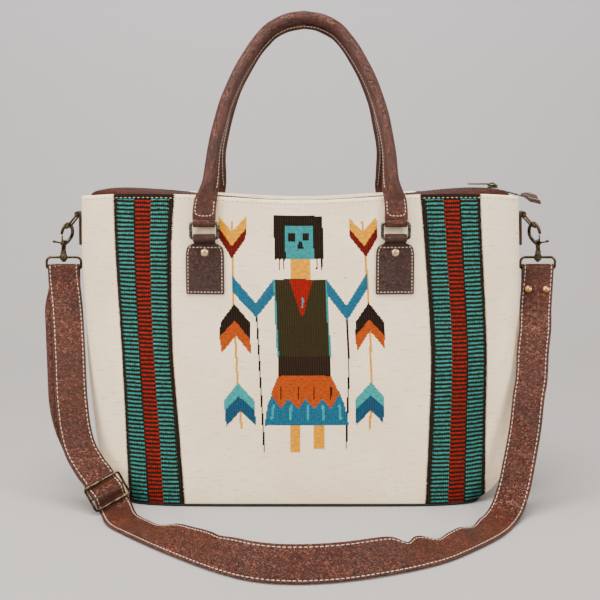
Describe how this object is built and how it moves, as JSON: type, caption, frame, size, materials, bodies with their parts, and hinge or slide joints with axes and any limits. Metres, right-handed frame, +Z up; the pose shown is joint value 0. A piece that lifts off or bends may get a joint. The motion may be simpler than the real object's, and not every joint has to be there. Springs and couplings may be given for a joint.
{
  "type": "tote bag",
  "caption": "Woven tote bag with a figure on the front, striped bands, a zipped top, rolled leather handles on rings and chapes, and a removable leather shoulder strap on swivel hooks.",
  "frame": {"origin": "middle of the base's flat underside, on the surface that the bag stands on", "axes": "+X to the right along the bag's width, seen from the side with the figure; +Y from that side to the back; +Z up"},
  "size_m": [0.587, 0.3381, 0.5498],
  "materials": {
    "cloth": "hand-woven wool panel, cream ground with coloured figure and banded stripes",
    "base_leather": "black leather base",
    "leather": "brown pebbled leather with a soft sheen",
    "dark_leather": "dark brown pebbled leather",
    "ring_metal": "antique nickel",
    "hook_metal": "antique brass, dark in its hollows",
    "rivet_metal": "pale brass",
    "zip_tape": "dark woven zip tape"
  },
  "bodies": {
    "root": {"front_panel": "cloth", "back_panel": "cloth", "base_panel": "base_leather", "zip_strip_front": "dark_leather", "zip_strip_back": "dark_leather", "zip_tape": "zip_tape", "zip_slider": "hook_metal", "zip_end_tab": "dark_leather", "handle_front": "leather", "handle_ring_front_left": "ring_metal", "chape_front_left": "dark_leather", "chape_rivet_front_left": "rivet_metal", "handle_ring_front_right": "ring_metal", "chape_front_right": "dark_leather", "chape_rivet_front_right": "rivet_metal", "handle_back": "leather", "handle_ring_back_left": "ring_metal", "chape_back_left": "dark_leather", "chape_rivet_back_left": "rivet_metal", "handle_ring_back_right": "ring_metal", "chape_back_right": "dark_leather", "chape_rivet_back_right": "rivet_metal", "side_tab_left": "dark_leather", "side_ring_left": "hook_metal", "swivel_loop_left": "hook_metal", "strap_rivet_left": "rivet_metal", "side_tab_right": "dark_leather", "side_ring_right": "hook_metal", "swivel_loop_right": "hook_metal", "strap_rivet_right": "rivet_metal", "strap": "leather", "strap_slider": "hook_metal"},
    "left_hook": {"hook_left": "hook_metal"},
    "left_trigger": {"trigger_left": "hook_metal"},
    "right_hook": {"hook_right": "hook_metal"},
    "right_trigger": {"trigger_right": "hook_metal"}
  },
  "joints": [
    {"name": "left_hook_swivel", "type": "hinge", "parent": "root", "child": "left_hook", "pos_m": [-0.2715, 0, 0.276], "axis": [0, 0, 1], "range_deg": [-15, 15]},
    {"name": "left_trigger_press", "type": "hinge", "parent": "left_hook", "child": "left_trigger", "pos_m": [-0.27066, 0, 0.2925], "axis": [0, 1, 0], "range_deg": [0, 25], "stiffness_Nm_per_rad": 0.02},
    {"name": "right_hook_swivel", "type": "hinge", "parent": "root", "child": "right_hook", "pos_m": [0.2733, 0, 0.276], "axis": [0, 0, 1], "range_deg": [-15, 15]},
    {"name": "right_trigger_press", "type": "hinge", "parent": "right_hook", "child": "right_trigger", "pos_m": [0.27246, 0, 0.29278], "axis": [0, -1, 0], "range_deg": [0, 25], "stiffness_Nm_per_rad": 0.02}
  ]
}
